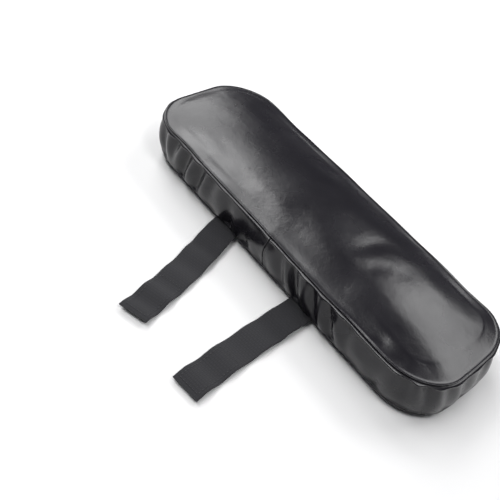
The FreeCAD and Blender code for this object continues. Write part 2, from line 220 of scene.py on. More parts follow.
def outline_net():
    """Points round the seam with their outward normals and their distance along the front from its middle.

    It starts in the middle of the front left corner and runs towards +X.
    """
    straight_long = 2 * (HALF_LENGTH - CORNER)
    straight_end = 2 * (HALF_WIDTH - CORNER)
    half_arc = CORNER * math.pi / 4
    sides = ((straight_long, LONG_CELLS, straight_end / 2), (straight_end, END_CELLS, straight_long / 2))
    points, normals = [], []
    for quarter, (straight, cells, centre_out) in enumerate(2 * sides):
        c, s = math.cos(quarter * math.pi / 2), math.sin(quarter * math.pi / 2)
        for i in range(cells):
            along = (straight + 2 * half_arc) * i / cells
            if along < half_arc:
                angle, centre = -math.pi / 4 + along / CORNER, -straight / 2
            elif along <= half_arc + straight:
                angle, centre = 0.0, -straight / 2 + along - half_arc
            else:
                angle, centre = (along - half_arc - straight) / CORNER, straight / 2
            x, y = math.sin(angle), -math.cos(angle)
            normals.append((c * x - s * y, s * x + c * y))
            x, y = centre + CORNER * x, -centre_out + CORNER * y
            points.append((c * x - s * y, s * x + c * y))
    points, normals = np.array(points), np.array(normals)
    step = np.linalg.norm(np.roll(points, -1, axis=0) - points, axis=1)
    along = np.concatenate([[0], np.cumsum(step)[:-1]])
    along -= (straight_long + 2 * half_arc) / 2
    return points, normals, along, step.sum()


def bulge_ends(points, amount):
    """Rounds the end at -X out, and slants the end at +X: full at its front corner, cut back at its rear."""
    x, y = points[:, 0], points[:, 1]
    share = np.clip((np.abs(x) - (HALF_LENGTH - 45)) / 45, 0, 1) ** 2
    curve = 1 - (y / HALF_WIDTH) ** 2
    slant = 0.35 * amount * curve - 0.7 - 2.6 * y / HALF_WIDTH
    points[:, 0] = x + np.sign(x) * share * np.where(x > 0, slant, amount * curve)
    return points


def patch_between(ring):
    """A net of points that fills a closed ring, from the ring's four sides."""
    n, m = LONG_CELLS, END_CELLS
    closed = np.vstack([ring, ring[:1]])
    front = closed[: n + 1]
    right = closed[n : n + m + 1]
    rear = closed[n + m : 2 * n + m + 1][::-1]
    left = closed[2 * n + m : 2 * n + 2 * m + 1][::-1]
    u = np.linspace(0, 1, n + 1)[:, None, None]
    v = np.linspace(0, 1, m + 1)[None, :, None]
    net = (1 - v) * front[:, None] + v * rear[:, None] + (1 - u) * left[None] + u * right[None]
    net -= (1 - u) * (1 - v) * front[0] + u * (1 - v) * front[-1] + (1 - u) * v * rear[0] + u * v * rear[-1]
    return net


def wander(along, total, seed, size, turns):
    """A closed, gently wandering line: an offset for each place round the seam."""
    angle = 2 * np.pi * along / total
    return np.array([
        size * noise.noise(Vector((turns * math.cos(a), turns * math.sin(a), seed))) for a in angle
    ])


# Folds in the side band: place along the front from the middle, depth, half width, lean towards the base,
# and how the depth runs from base seam to top seam.
BAND_FOLDS = (
    (-106.0, 1.6, 3.2, 3.0, "both"),
    (-93.0, 1.5, 2.9, -3.0, "top"),
    (-82.0, 2.6, 3.3, -6.0, "both"),
    (-68.0, 2.4, 3.5, -7.0, "both"),
    (-56.0, 1.4, 3.6, -5.0, "top"),
    (-36.0, 1.5, 3.6, 2.0, "base"),
    (-20.0, 1.0, 3.6, 4.0, "base"),
    (15.0, 1.3, 3.8, 5.0, "both"),
    (27.0, 2.0, 3.2, 8.0, "both"),
    (44.0, 2.3, 3.0, 8.0, "both"),
    (57.0, 1.9, 3.3, 8.0, "both"),
    (71.0, 1.0, 3.6, 5.0, "top"),
    (97.0, 1.0, 3.4, -2.0, "base"),
    (112.0, 1.6, 2.8, 2.0, "top"),
    (125.0, 2.4, 2.6, 7.0, "top"),
    (137.0, 1.1, 3.2, 9.0, "both"),
    (150.0, 0.9, 3.4, 8.0, "both"),
    (165.0, 0.8, 3.4, -2.0, "top"),
    (180.0, 1.0, 3.4, 5.0, "both"),
    (197.0, 1.5, 3.4, -4.0, "both"),
    (214.0, 1.1, 3.6, 4.0, "base"),
    (236.0, 1.4, 3.4, -5.0, "both"),
    (262.0, 1.2, 3.4, 5.0, "top"),
    (287.0, 1.4, 3.4, -4.0, "both"),
    (325.0, 1.4, 3.4, 5.0, "both"),
    (348.0, 1.1, 3.6, -4.0, "base"),
    (372.0, 1.4, 3.4, 4.0, "both"),
    (398.0, 1.2, 3.2, -3.0, "top"),
    (420.0, 1.6, 3.2, 3.0, "both"),
    (444.0, 1.5, 3.2, -3.0, "both"),
    (462.0, 1.3, 3.4, 4.0, "top"),
    (480.0, 1.7, 3.2, -2.0, "both"),
    (497.0, 1.2, 3.2, 2.0, "both"),
)

# Dents and humps in the top panel: x, y, radius along, radius across, depth, turn in degrees
TOP_DENTS = (
    (88.0, -35.5, 4.4, 2.4, 0.7, 8.0),
    (102.0, -34.5, 4.2, 2.4, 0.7, 28.0),
    (27.0, -10.0, 9.0, 5.0, 0.24, 52.0),
    (36.0, 2.0, 14.0, 5.2, 0.46, 80.0),
    (51.0, -5.0, 11.0, 4.8, 0.40, 62.0),
    (62.0, 5.0, 9.0, 5.0, 0.24, 90.0),
    (44.0, 15.0, 8.0, 4.4, 0.22, 40.0),
    (-44.0, 6.0, 30.0, 9.0, 0.30, 8.0),
    (-98.0, -10.0, 13.0, 7.0, 0.40, 30.0),
    (6.0, 18.0, 20.0, 6.0, 0.30, 12.0),
    (106.0, 15.0, 10.0, 6.0, 0.35, 40.0),
    (-72.0, -22.0, 16.0, 5.0, 0.30, -6.0),
)


def band_fold_depth(along, total, height):
    """How far the folds draw the side band in, at places round the seam and a height share from 0 to 1."""
    depth = np.zeros_like(along)
    for place, size, width, lean, run in BAND_FOLDS:
        gap = along - place - lean * (0.5 - height)
        gap = (gap + total / 2) % total - total / 2
        fade = {"both": 0.35 + 0.65 * math.sin(math.pi * height), "top": height, "base": 1 - height}[run]
        depth += size * fade * (bump_at(gap, width) - 0.45 * bump_at(gap - 2.3 * width, 1.3 * width)
                                - 0.45 * bump_at(gap + 2.3 * width, 1.3 * width))
    return depth


def dent_depth(x, y):
    depth = np.zeros_like(x)
    for cx, cy, rx, ry, size, turn in TOP_DENTS:
        c, s = math.cos(math.radians(turn)), math.sin(math.radians(turn))
        u = (c * (x - cx) + s * (y - cy)) / rx
        v = (-s * (x - cx) + c * (y - cy)) / ry
        depth += size * np.exp(-(u * u + v * v))
    return depth


class CoverNet:
    """The whole cover as one closed net, so that the filling can swell it before it is cut into panels."""

    def __init__(self, settings):
        points, self.normals, self.along, self.total = outline_net()
        self.outwards = np.column_stack([self.normals, np.zeros(AROUND)])
        self.outline = bulge_ends(points, settings.end_bulge / MM)
        self.crown = settings.crown / MM
        self.end_fall = settings.end_fall / MM
        near_end = np.clip(self.normals[:, 0], 0, 1)
        rearwards = np.clip(0.85 * self.normals[:, 1] - 0.75 * self.normals[:, 0], 0, 1)
        seam_lift = wander(self.along, self.total, 3.1, 1.1, 3.2) + near_end
        seam_out = wander(self.along, self.total, 7.7, 0.9, 3.6)
        seam_out = seam_out - settings.rear_tuck / MM * rearwards + 0.5 * bump_at(self.along + 3.0, 3.0)
        base_lift = wander(self.along, self.total, 11.3, 0.8, 3.0)
        flare = 3.6 * near_end**2
        rings = []
        for inset in TOP_INSETS:
            ring = self.ring(inset, TOP_SEAM)
            ring[:, 2] += self.rise(ring[:, 0], ring[:, 1], inset)
            near = 1 - inset / 12
            rings.append(ring + self.moved(seam_out * near, seam_lift * near))
        top = self.ring(0.0, TOP_SEAM) + self.moved(seam_out, seam_lift)
        base = self.ring(BASE_TUCK, BASE_SEAM) + self.moved(flare, base_lift)
        rings.append(top)
        for row in range(1, BOX_ROWS):
            share = row / BOX_ROWS
            height = 1 - share
            out = (1.5 + 1.1 * rearwards) * math.sin(math.pi * height) ** 0.8
            fold = settings.fold_depth * band_fold_depth(self.along, self.total, height)
            rings.append(top * height + base * share + self.moved(out - fold))
        rings.append(base)
        for inset, z in BASE_RINGS:
            rings.append(self.ring(BASE_TUCK + inset, z) + self.moved(flare * max(0.0, 1 - inset / 10)))
        self.rings = rings
        self.points = list(np.vstack(rings))
        self.faces = []
        for k in range(len(rings) - 1):
            self.faces += ring_faces(k * AROUND, (k + 1) * AROUND, AROUND)
        self.top_index = self.add_patch(self.crowned(rings[0]), 0)
        self.base_index = self.add_patch(patch_between(rings[-1]), len(rings) - 1, flip=True)

    def crowned(self, ring):
        """The net inside the innermost ring of the top panel, raised to the crown."""
        net = patch_between(ring)
        x, y = net[..., 0], net[..., 1]
        inside = np.maximum(self.distance_inside(x, y), TOP_INSETS[0])
        rim = np.column_stack([ring[:, :2], self.rise(ring[:, 0], ring[:, 1], TOP_INSETS[0])])
        net[..., 2] += self.rise(x, y, inside) - patch_between(rim)[..., 2]
        return net

    def rise(self, x, y, inside):
        """How far the top panel stands over its seam, at places so far inside it."""
        knee = -np.log(np.exp(-12 * inside / 11.0) + math.exp(-12)) / 12
        share = np.clip((x - 50.0) / 30.0, 0, 1)
        fullness = (1 - share) * (1 - np.exp(-inside / 8.0)) + share * knee
        fall = self.end_fall * np.minimum(np.abs(x) / 100.0, 1.2) ** 3
        return fullness * (self.crown - fall) - (1 - np.exp(-inside / 1.6)) * dent_depth(x, y)

    def ring(self, inset, z):
        flat = self.outline - inset * self.normals
        return np.column_stack([flat, np.full(len(flat), z)])

    def moved(self, out, lift=0.0):
        """A movement of every point round the outline, so far outwards and so far up."""
        return self.outwards * out[:, None] + np.outer(np.broadcast_to(lift, AROUND), UP)

    @staticmethod
    def distance_inside(x, y):
        """How far a place is inside the seam."""
        qx = np.abs(x) - (HALF_LENGTH - CORNER)
        qy = np.abs(y) - (HALF_WIDTH - CORNER)
        outside = np.hypot(np.clip(qx, 0, None), np.clip(qy, 0, None)) + np.minimum(np.maximum(qx, qy), 0)
        return CORNER - outside

    def add_patch(self, net, ring, flip=False):
        """Adds a patch that fills a ring, and gives the numbers of its points, border and all."""
        n, m = net.shape[0] - 1, net.shape[1] - 1
        index = np.zeros((n + 1, m + 1), int)
        border = [(i, 0) for i in range(n)] + [(n, j) for j in range(m)]
        border += [(i, m) for i in range(n, 0, -1)] + [(0, j) for j in range(m, 0, -1)]
        for k, place in enumerate(border):
            index[place] = ring * AROUND + k
        index[1:n, 1:m] = len(self.points) + np.arange((n - 1) * (m - 1)).reshape(n - 1, m - 1)
        self.points.extend(net[1:n, 1:m].reshape(-1, 3))
        self.faces += patch_faces(index, flip)
        return index


def even_out(values, faces, chosen, rounds):
    """Averages the chosen points' values with their neighbours', a number of times."""
    quads = np.array(faces)
    ends = np.vstack([quads[:, [0, 1]], quads[:, [1, 2]], quads[:, [2, 3]], quads[:, [3, 0]]])
    for _ in range(rounds):
        total = np.zeros_like(values)
        amount = np.zeros(len(values))
        for a, b in ((0, 1), (1, 0)):
            np.add.at(total, ends[:, a], values[ends[:, b]])
            np.add.at(amount, ends[:, a], 1)
        mean = total / np.maximum(amount, 1)[:, None]
        values = values.copy()
        values[chosen] = 0.4 * values[chosen] + 0.6 * mean[chosen]
    return values


CLOTH = {
    "quality": 6, "mass": 0.25, "tension_stiffness": 18, "compression_stiffness": 18, "shear_stiffness": 6,
    "bending_stiffness": 0.3, "vertex_group_mass": "held", "pin_stiffness": 1.0, "use_pressure": True,
    "vertex_group_shrink": "spare_cloth", "shrink_min": -0.004,
}
CLOTH_FRAMES = 20


def swell(net, settings):
    """Lets the filling press the cover out: Cloth with pressure, held at its seams and where it rests."""
    start = np.array(net.points)
    obj = mesh_object("cover_in_work", net.points, net.faces)
    band = range(TOP_RING * AROUND, (BASE_RING + 1) * AROUND)
    held = {*band[:AROUND], *range(BASE_RING * AROUND, len(net.rings) * AROUND)}
    held |= set(net.base_index.ravel().tolist())
    for name, members in (("held", sorted(held)), ("spare_cloth", list(band))):
        obj.vertex_groups.new(name=name).add(members, 1.0, "REPLACE")
    cloth = obj.modifiers.new("Cloth", "CLOTH")
    for key, value in CLOTH.items():
        setattr(cloth.settings, key, value)
    cloth.settings.uniform_pressure_force = settings.pressure
    cloth.settings.shrink_max = -settings.spare_cloth
    cloth.settings.effector_weights.gravity = 0.0
    cloth.collision_settings.use_collision = False
    scene = bpy.context.scene
    frames = scene.frame_start, scene.frame_end
    scene.frame_start, scene.frame_end = 1, CLOTH_FRAMES
    cloth.point_cache.frame_start, cloth.point_cache.frame_end = 1, CLOTH_FRAMES
    for step in range(1, CLOTH_FRAMES + 1):
        scene.frame_set(step)
    worked = obj.evaluated_get(bpy.context.evaluated_depsgraph_get())
    shift = np.array([v.co[:] for v in worked.to_mesh().vertices]) / MM - start
    worked.to_mesh_clear()
    scene.frame_set(1)
    scene.frame_start, scene.frame_end = frames
    mesh = obj.data
    bpy.data.objects.remove(obj)
    bpy.data.meshes.remove(mesh)
    top = {*net.top_index.ravel().tolist(), *range(TOP_RING * AROUND)}
    shift = even_out(shift, net.faces, sorted(top), 14)
    shift = even_out(shift, net.faces, sorted(set(band) - held), 1)
    length = np.linalg.norm(shift, axis=1, keepdims=True)
    limit = settings.swell_limit / MM
    return start + shift * limit * np.tanh(length / limit) / np.maximum(length, 1e-9)


# ---------------- panels cut from the swollen cover


def rings_of(points, first, last):
    """Copies of the cover's rings of points, from first to just before last."""
    return [points[k * AROUND : (k + 1) * AROUND].copy() for k in range(first, last)]


def lip_rows(seam, beside, outwards, lift, puff):
    """Rows that roll a panel's edge over into its seam, listed from the panel towards the seam allowance.

    beside is the panel's nearest own row, puff swells the roll, and lift points away from the other panel.
    """
    toward = beside - seam
    return [
        seam + 0.75 * toward + 0.25 * puff,
        seam + 0.42 * toward + puff,
        seam + puff + 0.62 * lift,
        seam + 0.25 * puff + 0.20 * lift,
        seam - 0.55 * outwards + 0.12 * lift,
        seam - 1.3 * outwards + 0.12 * lift,
        seam - 2.9 * outwards + 0.12 * lift,
    ]


def ring_faces(first, second, count):
    """Faces between two closed rows of points, given where each row starts."""
    pairs = [(i, (i + 1) % count) for i in range(count)]
    return [(first + i, second + i, second + j, first + j) for i, j in pairs]


def patch_faces(index, flip=False):
    """Faces of a net of point numbers."""
    faces = np.stack([index[:-1, :-1], index[1:, :-1], index[1:, 1:], index[:-1, 1:]], axis=-1).reshape(-1, 4)
    return [tuple(face) for face in (faces[:, ::-1] if flip else faces).tolist()]


def fill_rows(rows, points, index, place, flip=False):
    """Points and faces of a panel: its rows, and the patch of an index inside the row at a place."""
    inner = index[1:-1, 1:-1]
    index = index - index[0, 0] + place * AROUND
    index[1:-1, 1:-1] = len(rows) * AROUND + np.arange(inner.size).reshape(inner.shape)
    faces = []
    for k in range(len(rows) - 1):
        faces += ring_faces(k * AROUND, (k + 1) * AROUND, AROUND)
    return np.vstack(rows + [points[inner.ravel()]]), faces + patch_faces(index, flip)


def make_top_panel(net, points, material):
    """The crowned top panel, with its edge rolled into the top seam and the line of its seam allowance."""
    rings = rings_of(points, 0, TOP_RING + 1)
    ridge = 0.14 * (1 + 0.6 * np.sin(net.along / 11.0)) * np.clip((20.0 - rings[2][:, 0]) / 40.0, 0, 1)
    rings[2] -= np.outer(ridge, UP)
    rings[1] += np.outer(0.6 * ridge, UP)
    rows = rings[:-1] + lip_rows(rings[-1], rings[-2], net.outwards, UP, 0.25 * net.outwards + 0.30 * UP)
    panel = mesh_object("top_panel_leather", *fill_rows(rows, points, net.top_index, 0), material)
    add_subdivision(panel, 2)
    return finish_piece(panel, "pad", "cover", "top_panel")


def bend_join(grid, along):
    """Gives the upright join at the middle of a long side its slight bow."""
    for row, height in zip(grid, np.linspace(1, 0, len(grid))):
        bow = 1.5 * math.sin(math.pi * height) - 0.8 * height
        row[:, 0] -= bow * np.exp(-((along / 9.0) ** 2))


# How a half's upright edges roll into the joins: share of the way to the next column, and how far outwards
JOIN_LIP = ((0.55, 0.22), (0.24, 0.42), (0.07, 0.12), (0.04, -0.9), (0.02, -2.2))


def make_band_half(net, points, name, first_column, material, node):
    """Half of the side band, with its four edges rolled into the seams."""
    span = LONG_CELLS + END_CELLS + 1
    columns = [(first_column + i) % AROUND for i in range(span)]
    normals = net.outwards[columns]
    rows = [ring[columns] for ring in rings_of(points, TOP_RING, BASE_RING + 1)]
    bend_join(rows, np.minimum(np.arange(span), np.arange(span)[::-1]) * CELL)
    top_lip = lip_rows(rows[0], rows[1], normals, -UP, 1.25 * normals)[::-1]
    base_lip = lip_rows(rows[-1], rows[-2], normals, UP, 0.55 * normals)
    grid = np.array(top_lip + rows[1:-1] + base_lip)
    lips = []
    for edge, beside in ((0, 1), (-1, -2)):
        toward = grid[:, beside] - grid[:, edge]
        lips.append([grid[:, edge] + share * toward + out * normals[edge] for share, out in JOIN_LIP])
    grid = np.concatenate([np.stack(lips[0][::-1], axis=1), grid[:, 1:-1], np.stack(lips[1], axis=1)], axis=1)
    faces = patch_faces(np.arange(grid.size // 3).reshape(grid.shape[:2]))
    band = mesh_object(name, grid.reshape(-1, 3), faces, material)
    add_subdivision(band, 2)
    return finish_piece(band, "pad", "cover", node)


def base_mesh(net, points):
    """The fabric base as one sheet: its edge rolled into the base seam, its middle flat."""
    rings = rings_of(points, BASE_RING, len(net.rings))
    rows = lip_rows(rings[0], rings[1], net.outwards, -UP, 0.30 * net.outwards)[::-1] + rings[1:]
    sheet, faces = fill_rows(rows, points, net.base_index, len(rows) - 1, flip=True)
    lumps = np.array([0.16 * (1 + noise.noise(Vector((p[0] / 17.0, p[1] / 13.0, 4.4)))) for p in sheet])
    sheet[:, 2] += np.where(sheet[:, 2] < 0.6, lumps, 0)
    return sheet, faces


# The zip's slot: its middle, half its width, its ends, and half the gap between the panels beyond them
ZIP_Y = 16.0
SLOT_HALF = 4.4
SLOT_END = 115.5
MEET_GAP = 0.3


def on_panel(place, side):
    """Whether a place is on the base panel in front of the zip (side -1) or on the one behind it (side 1)."""
    beyond = side * (place.y - ZIP_Y)
    return beyond > SLOT_HALF or (abs(place.x) > SLOT_END and beyond > MEET_GAP)


def make_base_panel(net, points, name, side, material, node):
    """One base panel, cut from the base along the zip's slot, with its cut edges turned up into the hem."""
    panel = mesh_object(name, *base_mesh(net, points), material)
    cuts = [((0, ZIP_Y + y, 0), (0, 1, 0)) for y in (-SLOT_HALF, SLOT_HALF, -MEET_GAP, MEET_GAP)]
    cuts += [((x, 0, 0), (1, 0, 0)) for x in (SLOT_END, -SLOT_END)]
    with editing(panel) as tool:
        for place, direction in cuts:
            parts = [*tool.verts, *tool.edges, *tool.faces]
            bmesh.ops.bisect_plane(tool, geom=parts, plane_co=Vector(place) * MM, plane_no=Vector(direction))
        gone = [f for f in tool.faces if not on_panel(f.calc_center_median() / MM, side)]
        bmesh.ops.delete(tool, geom=gone, context="FACES")
        for lift in (0.45, 1.3):
            rim = [e for e in tool.edges if e.is_boundary and max(v.co.z for v in e.verts) < 2.4 * MM]
            for v in bmesh.ops.extrude_edge_only(tool, edges=rim)["geom"]:
                if isinstance(v, bmesh.types.BMVert):
                    v.co.z += lift * MM
        bmesh.ops.recalc_face_normals(tool, faces=tool.faces)
        if min(tool.faces, key=lambda f: f.calc_center_median().z).normal.z > 0:
            bmesh.ops.reverse_faces(tool, faces=tool.faces)
    add_subdivision(panel, 1)
    return finish_piece(panel, "pad", "base_fabric", node)


def make_foam(net, points, material):
    """The foam core: the cover's own shape drawn in, with a channel over the zip."""
    foam = points.copy()
    rings = len(net.rings)
    foam[: rings * AROUND, :2] -= 3.4 * np.tile(net.normals, (rings, 1))
    foam[:, 2] = np.clip(foam[:, 2] - 2.2, 3.0, None)
    channel = np.exp(-((foam[:, 1] - ZIP_Y) / 6.5) ** 4)
    foam[:, 2] = np.maximum(foam[:, 2], 3.0 + 3.2 * channel)
    core = mesh_object("foam_block", foam, net.faces, material)
    return finish_piece(core, "pad", "foam", "foam_core")


# ---------------- stitches, webbing and zip pieces


# A stitch's cross-sections: share of its length, share of its radius, and radii above the cloth
STITCH_RINGS = (
    (0.0, 0.25, -0.9), (0.12, 0.8, -0.15), (0.5, 1.0, 0.25), (0.88, 0.8, -0.15), (1.0, 0.25, -0.9),
)
STITCH_SIDES = 6
STITCH_SHARE = 0.72


def stitches(name, path, up, pitch, radius, material, closed=False):
    """A row of sewn stitches along a path: short round-ended threads lying on the cloth."""
    line = np.array([*path, path[0]] if closed else path, float)
    up = np.array(up, float)
    marks = np.concatenate([[0], np.cumsum(np.linalg.norm(np.diff(line, axis=0), axis=1))])
    amount = max(1, int(round(marks[-1] / pitch)))
    angles = [2 * math.pi * s / STITCH_SIDES for s in range(STITCH_SIDES)]

    def at(stitch):
        return np.array([np.interp(marks[-1] * stitch / amount, marks, line[:, c]) for c in range(3)])

    points, faces = [], []
    for k in range(amount):
        a, b = at(k + 0.5 * (1 - STITCH_SHARE)), at(k + 0.5 * (1 + STITCH_SHARE))
        along = (b - a) / max(np.linalg.norm(b - a), 1e-9)
        lift = up - along * up.dot(along)
        lift /= np.linalg.norm(lift)
        across = np.cross(along, lift)
        starts = [len(points) + r * STITCH_SIDES for r in range(len(STITCH_RINGS))]
        for share, fat, rise in STITCH_RINGS:
            middle = a + (b - a) * share + lift * rise * radius
            points += [middle + fat * radius * (math.cos(t) * across + math.sin(t) * lift) for t in angles]
        for first, second in zip(starts, starts[1:]):
            faces += ring_faces(first, second, STITCH_SIDES)
        faces += [tuple(range(first, first + STITCH_SIDES)) for first in (starts[0], starts[-1])]
    row = mesh_object(name, points, faces, material)
    with editing(row) as tool:
        bmesh.ops.recalc_face_normals(tool, faces=tool.faces)
    return row


def strip_profile(half_width, half_thick, cells=10):
    """The cross-section of a strip of webbing: flat faces and softly rounded selvedges."""
    inner = half_width - 0.55 * half_thick
    bend = half_width - 0.12 * half_thick
    half = [(a, half_thick) for a in np.linspace(-inner, inner, cells)]
    half += [(bend, 0.62 * half_thick), (half_width, 0.0), (bend, -0.62 * half_thick)]
    return half + [(-a, -b) for a, b in half]


def cap_strip_ends(tool, count, stations):
    """Closes both ends of a strip with a row of faces from its upper to its lower side."""
    tool.verts.ensure_lookup_table()
    flat = (count - 6) // 2
    for start in (0, (stations - 1) * count):
        ring = [tool.verts[start + i] for i in range(count)]
        upper = [ring[count - 1]] + ring[: flat + 1]
        lower = [ring[count - 3]] + ring[flat + 3 : 2 * flat + 3][::-1] + [ring[flat + 2]]
        tool.faces.new((ring[count - 1], ring[count - 2], ring[count - 3]))
        tool.faces.new((ring[flat], ring[flat + 1], ring[flat + 2]))
        for i in range(len(upper) - 1):
            tool.faces.new((upper[i], upper[i + 1], lower[i + 1], lower[i]))


def sweep_strip(name, stations, half_width, half_thick, material, levels=1):
    """A strip along a list of stations, each (distance, middle, across, up), with a UV map in metres."""
    ring = strip_profile(half_width, half_thick)
    count = len(ring)
    points = [middle + a * across + b * up for _, middle, across, up in stations for a, b in ring]
    faces = []
    for k in range(len(stations) - 1):
        faces += ring_faces(k * count, (k + 1) * count, count)
    strip = mesh_object(name, points, faces, material)
    with editing(strip) as tool:
        cap_strip_ends(tool, count, len(stations))
        bmesh.ops.recalc_face_normals(tool, faces=tool.faces)
        crease = tool.edges.layers.float.new("crease_edge")
        for edge in tool.edges:
            (k, a), (other, b) = (divmod(v.index, count) for v in edge.verts)
            if k == other and k in (0, len(stations) - 1) and abs(a - b) in (1, count - 1):
                edge[crease] = 1.0
                edge.smooth = False
        layer = tool.loops.layers.uv.new("cloth")
        for face in tool.faces:
            for loop in face.loops:
                k, i = divmod(loop.vert.index, count)
                loop[layer].uv = (ring[i][0] * MM, stations[k][0] * MM)
    if levels:
        add_subdivision(strip, levels)
        apply_stack(strip)
    return strip


# ---------------- straps


WEBBING_HALF = (9.5, 0.75)
PATCH_HALF = (8.5, 0.42)
STITCH_MARGIN = 1.6


def fold_frame(joint_name):
    """The fold's place in millimetres, the way the strap runs out from it, and the way across the strap."""
    joint = next(j for j in frame["joints"] if j["name"] == joint_name)
    across = np.array(joint["axis"], float)
    across /= np.linalg.norm(across)
    return np.array(joint["pos_m"]) / MM, np.array([across[1], -across[0], 0.0]), across


def strap_line(fold, out, across, heights, ripple, waves, sway):
    """A function from distance along a strap to its station: middle, across and up."""
    knots, levels = zip(*heights)

    def height(d):
        smooth = [np.interp(d + k, knots, levels) for k in (-3.0, -1.5, 0.0, 1.5, 3.0)]
        grow = min(max((d - 4.0) / 16.0, 0.0), 1.0)
        wave = (1 + math.sin(2 * math.pi * d / waves - 0.8)) * (0.75 + 0.25 * math.sin(d / 9.0))
        return float(np.mean(smooth)) + ripple * grow * wave

    def station(d):
        middle = fold + d * out + sway * math.sin(math.pi * max(d, 0) / 85.0) * across
        middle[2] = height(d)
        slope = height(d + 0.5) - height(d - 0.5)
        along = out + np.array([0, 0, slope])
        along /= np.linalg.norm(along)
        up = np.cross(across, -along)
        if up[2] < 0:
            up = -up
        return d, middle, across, up

    return station


def stations_between(station, first, last, offset=0.0):
    amount = max(2, int(math.ceil((last - first) / 1.5)))
    made = [station(first + (last - first) * k / amount) for k in range(amount + 1)]
    return [(d, middle + offset * up, across, up) for d, middle, across, up in made]


def make_run(name, station, ends, webbing, nodes):
    """A run of webbing between two distances along its strap, which hides the frame nodes that it stands for.
    """
    run = sweep_strip(name, stations_between(station, *ends), *WEBBING_HALF, webbing)
    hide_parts(*nodes)
    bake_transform(run)


def sew_patch(kind, face, side, body, thread_node, station, near, far, lift, thread_lift, nap):
    """A hook or loop patch on a strap, with the line of stitches round it, a little inside its edge."""
    patch = sweep_strip(
        f"{kind}_patch_{side}_{face}", stations_between(station, near, far, lift), *PATCH_HALF, nap
    )
    finish_piece(patch, body, "hook_and_loop", f"{kind}_patch_{side}")
    near, far, half_width = near + STITCH_MARGIN, far - STITCH_MARGIN, PATCH_HALF[0] - STITCH_MARGIN
    corners = [(near, -half_width), (far, -half_width), (far, half_width), (near, half_width)]
    path = []
    for (d0, a0), (d1, a1) in zip(corners, corners[1:] + corners[:1]):
        amount = max(2, int(abs(d1 - d0) + abs(a1 - a0)))
        for k in range(amount):
            _, middle, across, up = station(d0 + (d1 - d0) * k / amount)
            path.append(middle + (a0 + (a1 - a0) * k / amount) * across + thread_lift * up)
    sewn = stitches(f"{kind}_patch_{side}_stitches", path, UP, 2.4, 0.24, thread_material(), closed=True)
    finish_piece(sewn, body, "thread", thread_node)


class ARMREST_OT_long_straps(bpy.types.Operator):
    """Builds the two long webbing straps, each with its loop patch and the stitching that holds it"""

    bl_idname = "armrest.long_straps"
    bl_label = "Long Straps"

    def execute(self, context):
        look = context.scene.armrest_strap
        webbing = webbing_material(look)
        nap = nap_material("loop_nap", look, 0.0011)
        for side, sway, waves in (("left", 1.6, 19.0), ("right", -1.2, 23.0)):
            first, second, third = "pad", f"strap_side_{side}", f"strap_end_{side}"
            fold, out, across = fold_frame(f"strap_{side}_seam_fold")
            turn = fold_frame(f"strap_{side}_under_fold")[0]
            reach = float(np.dot(turn - fold, out))
            length = reach + 57.0
            heights = ((-20, fold[2]), (0, fold[2]), (reach, turn[2]), (length + 9, turn[2]))
            station = strap_line(fold, out, across, heights, look.ripple / MM, waves, sway)
            depth = (abs(fold[1]) - 36.9) / abs(out[1])
            make_run(f"long_strap_{side}_seam", station, (-depth, 0.5 * reach), webbing,
                     (f"strap_root_{side}", second))
            make_run(f"long_strap_{side}_free", station, (0.5 * reach, length), webbing,
                     (third,))
            sew_patch("loop", "nap", side, third, f"patch_thread_{side}", station,
                      length - 35, length - 1, -1.2, 0.80, nap)
        return {"FINISHED"}


class ARMREST_OT_hook_tabs(bpy.types.Operator):
    """Builds the two short tabs on the far side, each with its hook patch"""

    bl_idname = "armrest.hook_tabs"
    bl_label = "Hook Tabs"

    def execute(self, context):
        look = context.scene.armrest_strap
        webbing = webbing_material(look)
        nap = nap_material("hook_bristle", look, 0.0009)
        length = 26.8
        for side in ("left", "right"):
            tab = f"hook_tab_{side}"
            fold, out, across = fold_frame(f"tab_{side}_seam_fold")
            heights = ((-20, fold[2]), (0, fold[2]), (length, 0.78), (length + 9, 0.78))
            station = strap_line(fold, out, across, heights, 0.35 * look.ripple / MM, 21.0, 0.0)
            make_run(f"{tab}_webbing", station, (-5.4, length), webbing,
                     (f"tab_root_{side}", tab))
            sew_patch("hook", "bristle", side, tab, f"hook_thread_{side}", station,
                      length - 22, length - 2, 1.2, 1.66, nap)
        return {"FINISHED"}


# ---------------- materials


class Nodes:
    """A material's or a group's node tree, with short ways to add and join nodes."""

    def __init__(self, tree):
        self.tree = tree

    def add(self, kind, inputs=None, **settings):
        node = self.tree.nodes.new(kind)
        for key, value in settings.items():
            setattr(node, key, value)
        self.fill(node, inputs or {})
        return node

    def fill(self, node, inputs):
        for key, value in inputs.items():
            if isinstance(value, bpy.types.NodeSocket):
                self.tree.links.new(value, node.inputs[key])
            else:
                node.inputs[key].default_value = value

    def math(self, operation, *values):
        return self.add("ShaderNodeMath", dict(enumerate(values)), operation=operation).outputs[0]


